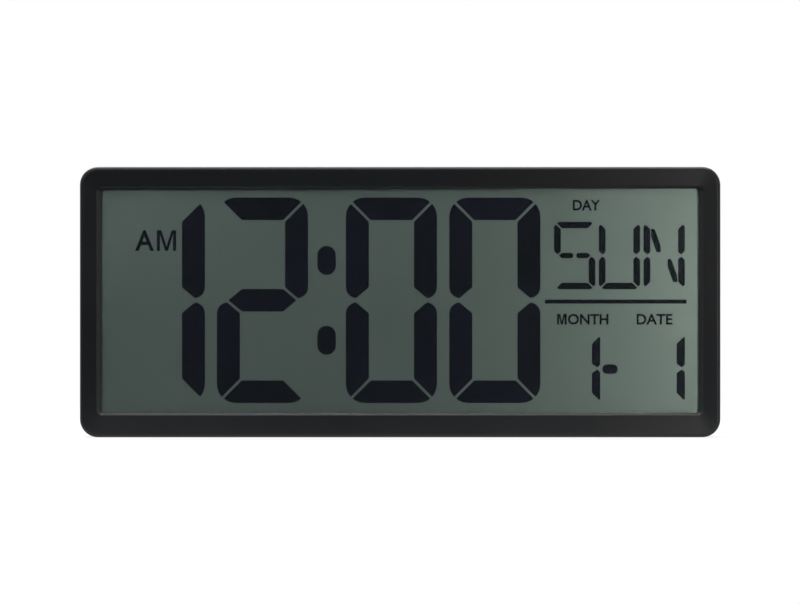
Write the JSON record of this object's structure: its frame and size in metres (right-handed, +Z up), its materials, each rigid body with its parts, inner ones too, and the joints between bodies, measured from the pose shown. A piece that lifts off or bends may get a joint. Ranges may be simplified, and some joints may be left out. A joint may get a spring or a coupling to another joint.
{
  "type": "digital day clock",
  "caption": "Large liquid-crystal wall and table clock showing time, weekday and date, with keyhole slots and fold-out feet.",
  "frame": {"origin": "middle of the bottom face that the clock stands on", "axes": "+X to the viewer's right, +Y from the display towards the back, +Z up"},
  "size_m": [0.366, 0.03, 0.1545],
  "materials": {
    "case_black": "fine matt texture, moulded ABS",
    "window_acrylic": "clear gloss acrylic",
    "tape_black": "matt",
    "polariser_film": "neutral film",
    "cell_glass": "clear float glass",
    "seal_glue": "cured adhesive",
    "lcd_dark": "dark liquid-crystal segments",
    "reflector_grey": "satin grey-green reflecting film",
    "foam_grey": "closed-cell foam",
    "retainer_white": "moulded ABS",
    "screw_steel": "zinc plated",
    "zebra_silicone": "layered silicone",
    "board_green": "solder mask",
    "resin_black": "epoxy",
    "crystal_can": "bright can",
    "chip_ceramic": "ceramic",
    "switch_black": "moulded",
    "cell_jacket": "plain dark jacket, bare metal ends",
    "contact_nickel": "nickel plated spring steel",
    "lead_red": "PVC insulation",
    "lead_black": "PVC insulation",
    "pad_rubber": "matt rubber",
    "key_black": "moulded ABS",
    "plunger_white": "moulded"
  },
  "bodies": {
    "clock_case": {"front_housing": "case_black", "display_window": "window_acrylic", "window_tape": "tape_black", "lcd_front_polariser": "polariser_film", "lcd_front_glass": "cell_glass", "lcd_cell_seal": "seal_glue", "lcd_time_segments": "lcd_dark", "lcd_calendar_segments": "lcd_dark", "lcd_rear_glass": "cell_glass", "lcd_reflector": "reflector_grey", "lcd_cushion": "foam_grey", "lcd_retainer": "retainer_white", "retainer_screws": "screw_steel", "zebra_connector": "zebra_silicone", "main_board": "board_green", "board_screws": "screw_steel", "display_driver": "resin_black", "quartz_crystal": "crystal_can", "chip_components": "chip_ceramic", "switch_bodies": "switch_black", "battery_cell_upper": "cell_jacket", "battery_cell_lower": "cell_jacket", "battery_positive_contact": "contact_nickel", "battery_negative_contact": "contact_nickel", "battery_bridge_contact": "contact_nickel", "power_lead_red": "lead_red", "power_lead_black": "lead_black", "rear_cover": "case_black", "case_screws": "screw_steel"},
    "battery_door": {"battery_door": "case_black"},
    "left_stand_foot": {"left_stand_foot": "case_black", "left_foot_pad": "pad_rubber"},
    "right_stand_foot": {"right_stand_foot": "case_black", "right_foot_pad": "pad_rubber"},
    "mode_key": {"mode_key": "key_black", "mode_switch_plunger": "plunger_white"},
    "up_key": {"up_key": "key_black", "up_switch_plunger": "plunger_white"},
    "down_key": {"down_key": "key_black", "down_switch_plunger": "plunger_white"},
    "hour_format_key": {"hour_format_key": "key_black", "hour_format_switch_plunger": "plunger_white"}
  },
  "joints": [
    {"name": "battery_door_hinge", "type": "hinge", "parent": "clock_case", "child": "battery_door", "pos_m": [0, 0.0147, 0.044], "axis": [-1, 0, 0], "range_deg": [0, 80]},
    {"name": "left_foot_hinge", "type": "hinge", "parent": "clock_case", "child": "left_stand_foot", "pos_m": [-0.118, 0.0114, 0.0036], "axis": [-1, 0, 0], "range_deg": [0, 90]},
    {"name": "right_foot_hinge", "type": "hinge", "parent": "clock_case", "child": "right_stand_foot", "pos_m": [0.118, 0.0114, 0.0036], "axis": [-1, 0, 0], "range_deg": [0, 90]},
    {"name": "mode_key_travel", "type": "slide", "parent": "clock_case", "child": "mode_key", "axis": [0, -1, 0], "range_m": [0, 0.0005], "stiffness_N_per_m": 400, "springref_m": -0.0005},
    {"name": "up_key_travel", "type": "slide", "parent": "clock_case", "child": "up_key", "axis": [0, -1, 0], "range_m": [0, 0.0005], "stiffness_N_per_m": 400, "springref_m": -0.0005},
    {"name": "down_key_travel", "type": "slide", "parent": "clock_case", "child": "down_key", "axis": [0, -1, 0], "range_m": [0, 0.0005], "stiffness_N_per_m": 400, "springref_m": -0.0005},
    {"name": "hour_format_key_travel", "type": "slide", "parent": "clock_case", "child": "hour_format_key", "axis": [0, -1, 0], "range_m": [0, 0.0005], "stiffness_N_per_m": 400, "springref_m": -0.0005}
  ]
}
